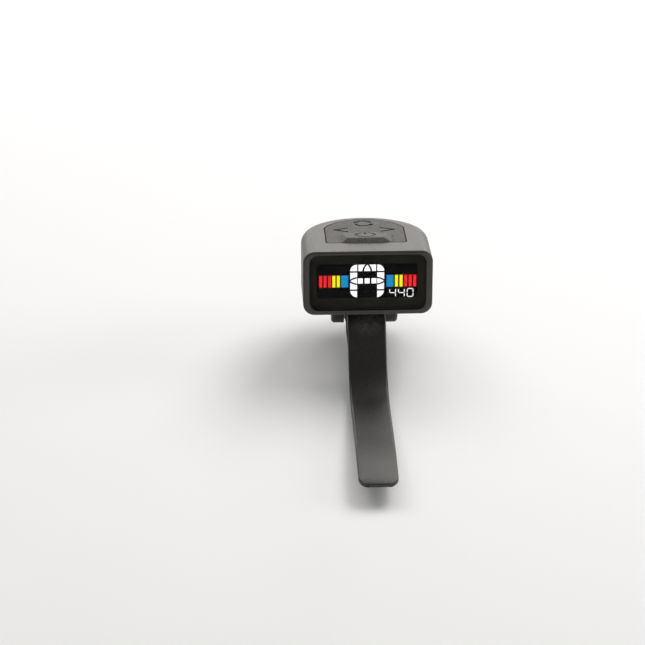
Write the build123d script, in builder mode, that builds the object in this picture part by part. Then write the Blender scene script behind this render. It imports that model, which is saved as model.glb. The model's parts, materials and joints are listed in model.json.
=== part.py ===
from build123d import *
import os
from math import atan2, cos, degrees, radians, sin

# A clip-on instrument tuner: a small housing with a colour display tilts and swivels on a strap.
# The strap hooks over one tension rod of a banjo and its tongue runs under the next rod.
# Frame: X to the right seen from the front, Y to the back, Z away from the instrument.
# The origin is the middle of the gripped rod. Millimetres and degrees.

# Rod and hook
rod_radius = 2.1
liner_thickness = 0.5
hook_wall = 1.7
strap_width = 8.8
hook_start = -40
hook_end = 200
liner_margin = 5

# Strap
strap_thickness = 2.0
crest_angle = 132
slope_length = 7.3
belly_radius = 15.0
belly_turn = 50
run_length = 15.75
tail_radius = 56.0
tail_turn = 15.5
tail_under_radius = 125.0
tail_under_turn = 6.7
tip_width = 8.6
tip_corner = 2.4
tip_round = 0.6
flex_distance = 4.2
socket_clearance = 0.05
stub_setback = 0.5

# Tilt hinge
hinge_y = 8.13
hinge_z = -0.2
knuckle_radius = 2.6
pin_radius = 0.9
pin_clearance = 0.04
lug_inner = 4.75
lug_outer = 7.7
pin_half_length = 7.5
washer_radius = 1.7
washer_thickness = 0.3
web_height = 3.7
web_bottom = -1.5
lug_edge = 0.8
pin_chamfer = 0.15

# Housing attitude: it leans back from the vertical, and its underside clears the hinge axis
lean = 15.0
hinge_drop = 4.45

# Housing
half_width = 14.6
rear_depth = 12.6
rear_corner = 11.5
front_y = -14.0
arc_y = -0.6
height = 15.1
edge_radius = 2.6
wall = 1.2
rim_setback = 0.2
rim_width = 0.35
bezel_depth = 2.4
bezel_edge = 0.3
fit_gap = 0.05
beyond = 30

# Window
lens_width = 26.4
lens_height = 13.3
lens_corner = 2.1
lens_thickness = 1.1
lens_edge = 0.2
opening_margin = 0.15
opening_corner = 0.5
lens_level = 7.6
display_level = 8.05
lcd_width = 24.6
lcd_height = 10.4
lcd_thickness = 1.5
lcd_gap = 0.1
lcd_chamfer = 0.2
light_width = 24.0
light_height = 9.4
light_thickness = 1.0
frame_low = 1.5
frame_high = 13.7
frame_width = 26.2
frame_web = 0.25
ribbon_width = 10.0
ribbon_thickness = 0.15
ribbon_level = 13.0
ribbon_drop = -9.0
ribbon_gap = 0.2

# Swivel
post_radius = 2.4
post_clearance = 0.05
plate_thickness = 1.4
plate_gap = 0.05
swivel_washer_radius = 3.6
swivel_screw_head = 1.8
swivel_screw_shank = 0.8
swivel_head_height = 1.0
swivel_head_chamfer = 0.25
swivel_screw_length = 2.8
swivel_hole_depth = 3.0
drive_width = 2.2
drive_slot = 0.4
drive_depth = 0.5
post_step = 0.1

# Key pad
pad_front = -8.0
pad_half_width = 9.25
pad_arc_width = 10.0
pad_arc_depth = 9.4
pad_arc_corner = 8.0
pad_corner = 0.8
pad_groove = 0.25
key_slit = 0.04
key_thickness = 0.8
plunger_radius = 0.9
plunger_end = 10.95
wedge_height = 0.85
wedge_run = 1.0
wedge_end = -0.8
wedge_base = 5.8
wedge_crest = 4.0
wedge_round = 0.6
wedge_root = 0.4
sign_depth = 0.2
sign_stroke = 0.5
arrow_half_length = 1.5
arrow_half_height = 1.3
power_half_width = 6.2
power_shoulder = -3.0
neck_half_width = 3.1
neck_front = 0
neck_back = 2.1
flip_half_width = 6.4
pad_far = 12.0
power_sign_y = -3.4
power_sign_radius = 2.45
power_sign_stroke = 1.7
flip_sign_y = 5.7
flip_sign_radius = 2.05
flip_sign_gap = 0.9
flip_arrow_radius = 0.75
arrow_x = 5.4
arrow_y = 1.2

# Board
board_low = 9.4
board_high = 10.2
board_inset = 1.7
board_front = -9.6
board_screw_radius = 0.5
screw_head_radius = 1.0
screw_head_height = 0.6
screw_length = 3.2
screw_slot = 0.3
boss_radius = 1.1
boss_hole_depth = 2.6
chip_height = 1.0
dome_radius = 2.0
dome_height = 0.3
dome_chamfer = 0.2
web_low = 12.9
web_high = 13.85
web_margin = 0.4
web_half_width = 9.4
web_hole_gap = 0.25
web_foot_radius = 0.8

# Battery tray and cell
tray_half_width = 10.9
tray_low = 2.9
tray_high = 7.2
tray_front = -9.8
slot_gap = 0.1
cell_radius = 10.0
cell_y = 0.6
cell_low = 3.5
cell_high = 6.7
cell_gap = 0.15
cell_chamfer = 0.2
cap_radius = 8.8
cap_height = 0.45
nail_width = 7.0
nail_height = 1.6
nail_depth = 1.0
contact_half_width = 1.5
contact_thickness = 0.2
strip_y = -3.5
strip_width = 2.0
strip_end = -1.0
leaf_notch_width = 4.0
leaf_notch_depth = 3.0
leaf_foot = 1.5
leaf_root = -5.3
leaf_touch = 0.4
leaf_end = 2.2
leaf_lift = 0.5

# Pickup
piezo_x = -7.0
piezo_y = -2.9
piezo_radius = 3.7
ceramic_radius = 2.6
piezo_thickness = 0.3
lead_radius = 0.2
lead_x = -12.0
lead_bend = 0.8

hook_inner = rod_radius + liner_thickness
hook_middle = hook_inner + hook_wall / 2
hook_outer = hook_inner + hook_wall
cavity_low = wall
cavity_high = height - wall
key_low = height - key_thickness

up = Vector(0, sin(radians(lean)), cos(radians(lean)))
back = Vector(0, cos(radians(lean)), -sin(radians(lean)))
housing_origin = Vector(0, hinge_y, hinge_z) + up * hinge_drop
back_axis = Axis(housing_origin, back)
up_axis = Axis(housing_origin, up)


def level(z):
    """Plane across the housing at a height above its underside: X right, Y back."""
    return Plane(origin=housing_origin + up * z, x_dir=(1, 0, 0), z_dir=up)


def facing(y):
    """Plane parallel to the window at a distance behind the swivel axis: X right, Y up."""
    return Plane(origin=housing_origin + back * y, x_dir=(1, 0, 0), z_dir=back * -1)


def section(x):
    """Plane along the housing: X back, Y up."""
    return Plane(origin=housing_origin + Vector(x, 0, 0), x_dir=back, z_dir=(1, 0, 0))


def finish(piece, name):
    piece.part.label = name
    export_step(piece.part, f"parts/{name}.step")


def d_plan(width, depth, corner, front, half=half_width):
    """A straight front, straight sides and a back of three tangent arcs, trimmed to a half width."""
    corner_x = width - corner
    back_radius = (corner_x**2 + depth**2 - corner**2) / (2 * (depth - corner))
    back_y = arc_y + depth - back_radius
    turn = degrees(atan2(arc_y - back_y, corner_x))
    with BuildSketch(Plane.XY, mode=Mode.PRIVATE) as plan:
        with BuildLine():
            Polyline((-width, arc_y), (-width, front), (width, front), (width, arc_y))
            CenterArc((corner_x, arc_y), corner, 0, turn)
            CenterArc((0, back_y), back_radius, turn, 180 - 2 * turn)
            CenterArc((-corner_x, arc_y), corner, 180 - turn, turn)
        make_face()
        Rectangle(2 * half, 4 * half_width, mode=Mode.INTERSECT)
    return plan.sketch


def d_block(inset, front, low, high, radius):
    """A block of the housing's outline, smaller by an inset, whose side and back edges are rounded."""
    with BuildPart() as block:
        with BuildSketch(level(low)):
            add(d_plan(half_width - inset, rear_depth - inset, rear_corner - inset, front))
        extrude(amount=high - low)
        long_edges = block.edges().filter_by(back_axis)
        fillet(block.edges().filter_by(GeomType.CIRCLE) + long_edges, radius)
    return block.part


def slab(width, depth, centre, low, high):
    """A plate lying in the housing."""
    with BuildPart() as plate:
        with BuildSketch(level(low)):
            with Locations(centre):
                Rectangle(width, depth)
        extrude(amount=high - low)
    return plate.part


os.makedirs("parts", exist_ok=True)


# ---- Strap ----
crest = Vector(cos(radians(crest_angle)), sin(radians(crest_angle))) * hook_outer
slope = Vector(-sin(radians(crest_angle)), cos(radians(crest_angle)))
inward = Vector(-cos(radians(crest_angle)), -sin(radians(crest_angle)))
flex = crest + slope * flex_distance + inward * (strap_thickness / 2)


def strap_profile():
    """Side view of the strap past the flex line: slope, belly, straight run and drooping tail."""
    top_start = crest + slope * flex_distance
    low_start = top_start + inward * strap_thickness
    rest = slope_length - flex_distance
    with BuildSketch(Plane.XY, mode=Mode.PRIVATE) as profile:
        with BuildLine():
            top_slope = Line(top_start, top_start + slope * rest)
            top_belly = JernArc(top_slope @ 1, top_slope % 1, belly_radius, -belly_turn)
            top_run = Line(top_belly @ 1, (top_belly @ 1) + (top_belly % 1) * run_length)
            top_tail = JernArc(top_run @ 1, top_run % 1, tail_radius, tail_turn)
            low_slope = Line(low_start, low_start + slope * rest)
            low_belly = JernArc(low_slope @ 1, low_slope % 1, belly_radius + strap_thickness, -belly_turn)
            low_run = Line(low_belly @ 1, (low_belly @ 1) + (low_belly % 1) * run_length)
            low_tail = JernArc(low_run @ 1, low_run % 1, tail_under_radius, tail_under_turn)
            Line(top_tail @ 1, low_tail @ 1)
            Line(top_start, low_start)
        make_face()
        fillet(profile.vertices().sort_by_distance(top_tail @ 1)[0], tip_round)
    return profile.sketch


def hook_sector(inner, outer, start, end):
    """Side view of a ring about the rod, open at the bottom."""
    with BuildSketch(Plane.XY, mode=Mode.PRIVATE) as ring:
        with BuildLine():
            CenterArc((0, 0), outer, start, end - start)
            CenterArc((0, 0), inner, start, end - start)
            for angle in (start, end):
                ray = Vector(cos(radians(angle)), sin(radians(angle)))
                Line(ray * inner, ray * outer)
        make_face()
    return ring.sketch


hinge = Vector(hinge_y, hinge_z)
web_length = hinge_y - hook_middle
web_centre = (hook_middle + web_length / 2, web_bottom + web_height / 2)
stub = crest + slope * (flex_distance - stub_setback)
stub_root = crest + inward * (hook_wall - liner_thickness)

with BuildPart() as clip_body:
    with BuildSketch(Plane.YZ):
        add(hook_sector(hook_inner, hook_outer, hook_start, hook_end))
        with Locations(hinge):
            Circle(knuckle_radius)
        with Locations(web_centre):
            Rectangle(web_length, web_height)
        with BuildLine():
            Polyline(crest, stub, stub + inward * strap_thickness, stub_root, close=True)
        make_face()
        with Locations(flex):
            Circle(strap_thickness / 2 + socket_clearance, mode=Mode.SUBTRACT)
        with Locations(hinge):
            Circle(pin_radius + pin_clearance, mode=Mode.SUBTRACT)
    extrude(amount=strap_width / 2, both=True)
finish(clip_body, "clip_body")

with BuildPart() as grip_liner:
    with BuildSketch(Plane.YZ):
        add(hook_sector(rod_radius, hook_inner, hook_start + liner_margin, hook_end - liner_margin))
    extrude(amount=strap_width / 2, both=True)
finish(grip_liner, "grip_liner")

with BuildPart() as spring_tongue:
    with BuildSketch(Plane.YZ):
        add(strap_profile())
        with Locations(flex):
            Circle(strap_thickness / 2)
    extrude(amount=strap_width / 2, both=True)
    tip_y = spring_tongue.vertices().sort_by(Axis.Y)[0].Y
    with BuildSketch(Plane.XY) as outline:
        with BuildLine():
            Polyline(
                (-tip_width / 2, tip_y),
                (tip_width / 2, tip_y),
                (strap_width / 2, flex.X),
                (strap_width / 2, 0),
                (-strap_width / 2, 0),
                (-strap_width / 2, flex.X),
                close=True,
            )
        make_face()
        fillet(outline.vertices().group_by(Axis.Y)[0], tip_corner)
    extrude(amount=beyond, both=True, mode=Mode.INTERSECT)
finish(spring_tongue, "spring_tongue")


# ---- Hinge and swivel ----
plate_low = -plate_gap - plate_thickness
plate_high = -plate_gap
post_top = wall + post_step
plate = slab(2 * lug_outer, 2 * knuckle_radius, (0, 0), plate_low, plate_high)

with BuildPart() as swivel_yoke:
    add(plate)
    for side in (-1, 1):
        with BuildSketch(section(side * lug_inner)):
            with Locations((0, -hinge_drop)):
                Circle(knuckle_radius)
            with Locations((0, (plate_high - hinge_drop) / 2)):
                Rectangle(2 * knuckle_radius, hinge_drop + plate_high)
        extrude(amount=side * (lug_outer - lug_inner))
    outer_faces = swivel_yoke.faces().sort_by(Axis.X)
    fillet(outer_faces[0].edges() + outer_faces[-1].edges(), lug_edge)
    with BuildSketch(level(plate_high)):
        Circle(post_radius)
    extrude(amount=post_top - plate_high)
    with BuildSketch(level(post_top)):
        Circle(swivel_screw_shank)
    extrude(amount=-swivel_hole_depth, mode=Mode.SUBTRACT)
    with BuildSketch(section(0)):
        with Locations((0, -hinge_drop)):
            Circle(pin_radius)
    extrude(amount=beyond, both=True, mode=Mode.SUBTRACT)
finish(swivel_yoke, "swivel_yoke")

with BuildPart() as hinge_pin:
    with BuildSketch(section(0)):
        with Locations((0, -hinge_drop)):
            Circle(pin_radius)
    extrude(amount=pin_half_length, both=True)
    chamfer(hinge_pin.edges(), pin_chamfer)
finish(hinge_pin, "hinge_pin")

with BuildPart() as friction_washers:
    for side in (-1, 1):
        with BuildSketch(section(side * lug_inner)):
            with Locations((0, -hinge_drop)):
                Circle(washer_radius)
                Circle(pin_radius, mode=Mode.SUBTRACT)
        extrude(amount=-side * washer_thickness)
finish(friction_washers, "friction_washers")

with BuildPart() as swivel_washer:
    with BuildSketch(level(post_top)):
        Circle(swivel_washer_radius)
        Circle(swivel_screw_shank, mode=Mode.SUBTRACT)
    extrude(amount=washer_thickness)
finish(swivel_washer, "swivel_washer")

screw_seat = post_top + washer_thickness
with BuildPart() as swivel_screw:
    with BuildSketch(level(screw_seat)):
        Circle(swivel_screw_head)
    extrude(amount=swivel_head_height)
    chamfer(swivel_screw.faces().sort_by(up_axis)[-1].edges(), swivel_head_chamfer)
    with BuildSketch(level(screw_seat)):
        Circle(swivel_screw_shank)
    extrude(amount=-swivel_screw_length)
    with BuildSketch(level(screw_seat + swivel_head_height)):
        Rectangle(drive_width, drive_slot)
        Rectangle(drive_slot, drive_width)
    extrude(amount=-drive_depth, mode=Mode.SUBTRACT)
finish(swivel_screw, "swivel_screw")


# ---- Housing ----
rim_y = front_y + rim_setback
bezel_back = front_y + bezel_depth
bezel_width = 2 * (half_width - rim_width)
bezel_height = height - 2 * rim_width
bezel_corner = edge_radius - rim_width
boss_places = [(-11.3, -7.0), (11.3, -7.0), (-10.6, 2.6), (10.6, 2.6)]
slot_half_width = tray_half_width + slot_gap

outer_block = d_block(0, rim_y, 0, height, edge_radius)
cavity_block = d_block(wall, bezel_back, cavity_low, cavity_high, edge_radius - wall)


def pad_plan(gap):
    """Outline of the key pad, smaller than its window by a gap."""
    with BuildSketch(Plane.XY, mode=Mode.PRIVATE) as pad:
        add(
            d_plan(
                pad_arc_width - gap,
                pad_arc_depth - gap,
                pad_arc_corner - gap,
                pad_front + gap,
                pad_half_width - gap,
            )
        )
        fillet(pad.vertices().group_by(Axis.Y)[0], pad_corner - gap / 2)
    return pad.sketch


with BuildPart() as rear_shell:
    add(outer_block)
    add(cavity_block, mode=Mode.SUBTRACT)
    with BuildSketch(facing(bezel_back)):
        with Locations((0, height / 2)):
            RectangleRounded(bezel_width + fit_gap, bezel_height + fit_gap, bezel_corner)
    extrude(amount=bezel_depth, mode=Mode.SUBTRACT)
    with BuildSketch(level(cavity_high)):
        add(pad_plan(0))
    extrude(amount=wall, mode=Mode.SUBTRACT)
    with BuildSketch(level(0)):
        Circle(post_radius + post_clearance)
    extrude(amount=wall, mode=Mode.SUBTRACT)
    with BuildSketch(facing(0)):
        with Locations((0, (tray_low + tray_high) / 2)):
            Rectangle(2 * slot_half_width, tray_high - tray_low + 2 * slot_gap)
    extrude(amount=-beyond, mode=Mode.SUBTRACT)
    with BuildSketch(level(board_high)):
        with Locations(*boss_places):
            Circle(boss_radius)
    extrude(amount=cavity_high - board_high)
    with BuildSketch(level(board_high)):
        with Locations(*boss_places):
            Circle(board_screw_radius)
    extrude(amount=boss_hole_depth, mode=Mode.SUBTRACT)
finish(rear_shell, "rear_shell")

with BuildPart() as front_bezel:
    with BuildSketch(facing(bezel_back)):
        with Locations((0, height / 2)):
            RectangleRounded(bezel_width, bezel_height, bezel_corner)
    extrude(amount=bezel_depth)
    fillet(front_bezel.faces().sort_by(back_axis)[0].edges(), bezel_edge)
    with BuildSketch(facing(front_y)):
        with Locations((0, lens_level)):
            RectangleRounded(lens_width + fit_gap, lens_height + fit_gap, lens_corner)
    extrude(amount=-lens_thickness - fit_gap, mode=Mode.SUBTRACT)
    with BuildSketch(facing(front_y)):
        with Locations((0, display_level)):
            RectangleRounded(lcd_width + 2 * opening_margin, lcd_height + 2 * opening_margin, opening_corner)
    extrude(amount=-bezel_depth, mode=Mode.SUBTRACT)
finish(front_bezel, "front_bezel")

lens_front = front_y + fit_gap
lens_back = lens_front + lens_thickness
with BuildPart() as display_lens:
    with BuildSketch(facing(lens_back)):
        with Locations((0, lens_level)):
            RectangleRounded(lens_width, lens_height, lens_corner)
    extrude(amount=lens_thickness)
    fillet(display_lens.faces().sort_by(back_axis)[0].edges(), lens_edge)
finish(display_lens, "display_lens")


# ---- Display ----
lcd_front = lens_back + lcd_gap
lcd_back = lcd_front + lcd_thickness
light_front = lcd_back + fit_gap
light_back = light_front + light_thickness
frame_back = light_back + frame_web

with BuildPart() as lcd_panel:
    with BuildSketch(facing(lcd_back)):
        with Locations((0, display_level)):
            Rectangle(lcd_width, lcd_height)
    extrude(amount=lcd_thickness)
    chamfer(lcd_panel.faces().sort_by(back_axis)[0].edges(), lcd_chamfer)
finish(lcd_panel, "lcd_panel")

with BuildPart() as backlight:
    with BuildSketch(facing(light_back)):
        with Locations((0, display_level)):
            RectangleRounded(light_width, light_height, opening_corner)
    extrude(amount=light_thickness)
finish(backlight, "backlight")

with BuildPart() as display_frame:
    with BuildSketch(facing(frame_back)):
        with Locations((0, (frame_low + frame_high) / 2)):
            RectangleRounded(frame_width, frame_high - frame_low, edge_radius - wall)
    extrude(amount=frame_back - bezel_back - fit_gap)
    with BuildSketch(facing(frame_back - frame_web + fit_gap)):
        with Locations((0, display_level)):
            Rectangle(lcd_width + 2 * fit_gap, lcd_height + 2 * fit_gap)
    extrude(amount=bezel_depth, mode=Mode.SUBTRACT)
    with BuildSketch(facing(frame_back)):
        with Locations((0, ribbon_level)):
            Rectangle(ribbon_width + 2 * ribbon_gap, 2 * ribbon_gap)
    extrude(amount=bezel_depth, mode=Mode.SUBTRACT)
finish(display_frame, "display_frame")

with BuildPart() as display_ribbon:
    with BuildSketch(section(0)):
        with BuildLine():
            Polyline(
                (lcd_back, ribbon_level),
                (ribbon_drop, ribbon_level),
                (ribbon_drop, board_high),
                (ribbon_drop - ribbon_thickness, board_high),
                (ribbon_drop - ribbon_thickness, ribbon_level - ribbon_thickness),
                (lcd_back, ribbon_level - ribbon_thickness),
                close=True,
            )
        make_face()
    extrude(amount=ribbon_width / 2, both=True)
finish(display_ribbon, "display_ribbon")


# ---- Board ----
key_places = [(0, -4.4), (0, 5.2), (-6.6, 1.0), (6.6, 1.0)]

with BuildPart() as main_board:
    with BuildSketch(level(board_low)):
        add(
            d_plan(
                half_width - board_inset,
                rear_depth - board_inset,
                rear_corner - board_inset,
                board_front,
            )
        )
        with Locations(*boss_places):
            Circle(board_screw_radius + fit_gap, mode=Mode.SUBTRACT)
    extrude(amount=board_high - board_low)
finish(main_board, "main_board")

# Each chip: its width, its depth and its place on the board
chips = [(5.0, 5.0, (5.6, 1.2)), (3.2, 2.8, (-4.8, 4.6))]
chips += [(2.0, 1.2, place) for place in [(-5.4, -4.8), (-5.4, -2.9), (4.6, 6.2), (7.0, 6.2)]]
with BuildPart() as board_chips:
    with BuildSketch(level(board_low)):
        for chip_width, chip_depth, place in chips:
            with Locations(place):
                Rectangle(chip_width, chip_depth)
    extrude(amount=-chip_height)
finish(board_chips, "board_chips")

with BuildPart() as board_screws:
    with BuildSketch(level(board_low)):
        with Locations(*boss_places):
            Circle(screw_head_radius)
    extrude(amount=-screw_head_height)
    with BuildSketch(level(board_low)):
        with Locations(*boss_places):
            Circle(board_screw_radius)
    extrude(amount=screw_length)
    with BuildSketch(level(board_low - screw_head_height)):
        with Locations(*boss_places):
            Rectangle(screw_head_radius, screw_slot)
    extrude(amount=screw_slot, mode=Mode.SUBTRACT)
finish(board_screws, "board_screws")

with BuildPart() as key_domes:
    with BuildSketch(level(board_high)):
        with Locations(*key_places):
            Circle(dome_radius)
    extrude(amount=dome_height)
    chamfer(key_domes.faces().group_by(up_axis)[-1].edges(), dome_chamfer)
finish(key_domes, "key_domes")

web_feet = [(-8.0, -7.2), (8.0, -7.2), (-7.2, 4.6), (7.2, 4.6)]
with BuildPart() as keypad_web:
    with BuildSketch(level(web_low)):
        add(
            d_plan(
                pad_arc_width + web_margin,
                pad_arc_depth + web_margin,
                pad_arc_corner + web_margin,
                pad_front - web_margin,
                web_half_width,
            )
        )
        with Locations(*key_places):
            Circle(plunger_radius + web_hole_gap, mode=Mode.SUBTRACT)
    extrude(amount=web_high - web_low)
    with BuildSketch(level(board_high)):
        with Locations(*web_feet):
            Circle(web_foot_radius)
    extrude(amount=web_low - board_high)
finish(keypad_web, "keypad_web")


# ---- Keys ----
def key_region(points):
    """Part of the pad outline that belongs to one key."""
    with BuildSketch(Plane.XY, mode=Mode.PRIVATE) as region:
        with BuildLine():
            Polyline(*points, close=True)
        make_face()
        add(pad_plan(pad_groove), mode=Mode.INTERSECT)
    return region.sketch


def key_cap(points, place):
    """A key cap with its plunger, before its sign is cut."""
    with BuildPart() as cap:
        with BuildSketch(level(key_low)):
            add(key_region(points))
        extrude(amount=key_thickness)
        with BuildSketch(level(plunger_end)):
            with Locations(place):
                Circle(plunger_radius)
        extrude(amount=key_low - plunger_end)
    return cap.part


def chevron(direction):
    """An open arrow that points to the left (-1) or to the right (1)."""
    tail_x = -direction * arrow_half_length
    with BuildSketch(Plane.XY, mode=Mode.PRIVATE) as sign:
        with BuildLine():
            Polyline((tail_x, arrow_half_height), (-tail_x, 0), (tail_x, -arrow_half_height))
            offset(amount=sign_stroke / 2, side=Side.BOTH)
        make_face()
    return sign.sketch


# The power key is as wide as the wedge in front, and narrows to a neck between the arrow keys
flip_front = neck_back + key_slit
power_right = [(power_half_width, -beyond), (power_half_width, power_shoulder)]
power_right += [(neck_half_width, neck_front), (neck_half_width, neck_back)]
power_points = power_right + [(-x, y) for x, y in reversed(power_right)]
flip_right = [(neck_half_width, flip_front), (flip_half_width, pad_far)]
flip_points = flip_right + [(-x, y) for x, y in reversed(flip_right)]
up_points = [(x + key_slit, y) for x, y in power_right[:-1] + flip_right]
up_points += [(beyond, pad_far), (beyond, -beyond)]
down_points = [(-x, y) for x, y in up_points]

pad_base = pad_front + pad_groove
wedge_crest_y = pad_base + wedge_run
wedge_low = height - wedge_root
wedge_high = height + wedge_height
with BuildPart() as wedge:
    with BuildSketch(section(0)):
        with BuildLine():
            Polyline(
                (pad_base, wedge_low),
                (pad_base, height),
                (wedge_crest_y, wedge_high),
                (wedge_end, height),
                (wedge_end, wedge_low),
                close=True,
            )
        make_face()
    extrude(amount=wedge_base, both=True)
    with BuildSketch(facing(0)):
        with BuildLine():
            Polyline(
                (-wedge_base, wedge_low),
                (-wedge_base, height),
                (-wedge_crest, wedge_high),
                (wedge_crest, wedge_high),
                (wedge_base, height),
                (wedge_base, wedge_low),
                close=True,
            )
        make_face()
    extrude(amount=beyond, both=True, mode=Mode.INTERSECT)
    crest_and_flanks = wedge.edges().sort_by(up_axis)[-5:]
    fillet(crest_and_flanks, wedge_round)
    with BuildSketch(level(0)):
        add(key_region(power_points))
    extrude(amount=beyond, mode=Mode.INTERSECT)

power_blank = key_cap(power_points, key_places[0])
wedge_fall = wedge_end - wedge_crest_y
ring_height = height + wedge_height * (wedge_end - power_sign_y) / wedge_fall
ring_plane = Plane(
    origin=level(ring_height).origin + back * power_sign_y,
    x_dir=(1, 0, 0),
    z_dir=up * wedge_fall + back * wedge_height,
)
with BuildPart() as power_key:
    add(power_blank)
    add(wedge.part)
    with BuildSketch(ring_plane):
        Circle(power_sign_radius)
        Circle(power_sign_radius - sign_stroke, mode=Mode.SUBTRACT)
        with Locations((0, power_sign_radius - sign_stroke / 2)):
            Rectangle(3 * sign_stroke, power_sign_stroke, mode=Mode.SUBTRACT)
        with Locations((0, power_sign_stroke - sign_stroke / 2)):
            Rectangle(sign_stroke, power_sign_stroke)
    extrude(amount=-sign_depth, mode=Mode.SUBTRACT)
finish(power_key, "power_key")

flip_blank = key_cap(flip_points, key_places[1])
flip_tip = (flip_sign_radius - sign_stroke / 2, -flip_sign_gap)
with BuildPart() as flip_key:
    add(flip_blank)
    with BuildSketch(level(height)):
        with Locations((0, flip_sign_y)):
            Circle(flip_sign_radius)
            Circle(flip_sign_radius - sign_stroke, mode=Mode.SUBTRACT)
            Rectangle(3 * flip_sign_radius, flip_sign_gap, mode=Mode.SUBTRACT)
            with Locations(flip_tip, (-flip_tip[0], flip_sign_gap)):
                RegularPolygon(flip_arrow_radius, 3, rotation=30)
    extrude(amount=-sign_depth, mode=Mode.SUBTRACT)
finish(flip_key, "flip_key")

down_blank = key_cap(down_points, key_places[2])
with BuildPart() as down_key:
    add(down_blank)
    with BuildSketch(level(height)):
        with Locations((-arrow_x, arrow_y)):
            add(chevron(-1))
    extrude(amount=-sign_depth, mode=Mode.SUBTRACT)
finish(down_key, "down_key")

up_blank = key_cap(up_points, key_places[3])
with BuildPart() as up_key:
    add(up_blank)
    with BuildSketch(level(height)):
        with Locations((arrow_x, arrow_y)):
            add(chevron(1))
    extrude(amount=-sign_depth, mode=Mode.SUBTRACT)
finish(up_key, "up_key")


# ---- Battery tray, cell and contacts ----
tray_block = slab(2 * tray_half_width, 2 * half_width, (0, tray_front + half_width), tray_low, tray_high)
strip_low = cell_low - contact_thickness

with BuildPart() as battery_tray:
    add(tray_block)
    with BuildSketch(level(0)):
        add(d_plan(half_width, rear_depth, rear_corner, 2 * front_y))
    extrude(amount=beyond, mode=Mode.INTERSECT)
    with BuildSketch(level(cell_low)):
        with Locations((0, cell_y)):
            Circle(cell_radius + cell_gap)
    extrude(amount=beyond, mode=Mode.SUBTRACT)
    with BuildSketch(level(cell_high - slot_gap)):
        with Locations((0, tray_front)):
            Rectangle(leaf_notch_width, leaf_notch_depth)
    extrude(amount=beyond, mode=Mode.SUBTRACT)
    with BuildSketch(level(strip_low)):
        with Locations(((tray_half_width + strip_end) / 2, strip_y)):
            Rectangle(tray_half_width - strip_end, strip_width)
    extrude(amount=contact_thickness, mode=Mode.SUBTRACT)
    with BuildSketch(level(strip_low)):
        with Locations((tray_half_width, strip_y)):
            Rectangle(2 * contact_thickness, strip_width)
    extrude(amount=cell_high - strip_low, mode=Mode.SUBTRACT)
    with BuildSketch(facing(half_width)):
        with Locations((0, tray_low)):
            RectangleRounded(nail_width, nail_height, nail_height / 2 - fit_gap)
    extrude(amount=half_width - arc_y - rear_depth + nail_depth, mode=Mode.SUBTRACT)
finish(battery_tray, "battery_tray")

with BuildPart() as tray_strip:
    with BuildSketch(facing(strip_y - strip_width / 2)):
        with BuildLine():
            Polyline(
                (strip_end, strip_low),
                (tray_half_width, strip_low),
                (tray_half_width, cell_high),
                (tray_half_width - contact_thickness, cell_high),
                (tray_half_width - contact_thickness, cell_low),
                (strip_end, cell_low),
                close=True,
            )
        make_face()
    extrude(amount=-strip_width)
finish(tray_strip, "tray_strip")

with BuildPart() as cell_can:
    with BuildSketch(level(cell_low + cap_height)):
        with Locations((0, cell_y)):
            Circle(cell_radius)
    extrude(amount=cell_high - cell_low - cap_height)
    chamfer(cell_can.edges(), cell_chamfer)
finish(cell_can, "cell_can")

with BuildPart() as cell_cap:
    with BuildSketch(level(cell_low)):
        with Locations((0, cell_y)):
            Circle(cap_radius)
    extrude(amount=cap_height)
finish(cell_cap, "cell_cap")

leaf_low = cell_high + fit_gap
with BuildPart() as contact_positive:
    with BuildSketch(section(0)):
        with BuildLine():
            Polyline(
                (leaf_root - leaf_foot, board_low),
                (leaf_root, board_low),
                (leaf_touch, leaf_low + contact_thickness),
                (leaf_end, leaf_low + leaf_lift + contact_thickness),
                (leaf_end, leaf_low + leaf_lift),
                (leaf_touch, leaf_low),
                (leaf_root, board_low - contact_thickness),
                (leaf_root - leaf_foot, board_low - contact_thickness),
                close=True,
            )
        make_face()
    extrude(amount=contact_half_width, both=True)
finish(contact_positive, "contact_positive")

side_leaf = tray_half_width + fit_gap
side_leaf_low = (strip_low + cell_high) / 2
with BuildPart() as contact_negative:
    with BuildSketch(facing(strip_y - strip_width / 2)):
        with BuildLine():
            Polyline(
                (side_leaf - leaf_foot, board_low),
                (side_leaf + contact_thickness, board_low),
                (side_leaf + contact_thickness, side_leaf_low),
                (side_leaf, side_leaf_low),
                (side_leaf, board_low - contact_thickness),
                (side_leaf - leaf_foot, board_low - contact_thickness),
                close=True,
            )
        make_face()
    extrude(amount=-strip_width)
finish(contact_negative, "contact_negative")


# ---- Pickup ----
with BuildPart() as piezo_disc:
    with BuildSketch(level(cavity_low)):
        with Locations((piezo_x, piezo_y)):
            Circle(piezo_radius)
    extrude(amount=piezo_thickness)
finish(piezo_disc, "piezo_disc")

ceramic_low = cavity_low + piezo_thickness
ceramic_high = ceramic_low + piezo_thickness
with BuildPart() as piezo_ceramic:
    with BuildSketch(level(ceramic_low)):
        with Locations((piezo_x, piezo_y)):
            Circle(ceramic_radius)
    extrude(amount=piezo_thickness)
finish(piezo_ceramic, "piezo_ceramic")


def spot(x, y, z):
    return housing_origin + Vector(x, 0, 0) + back * y + up * z


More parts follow.
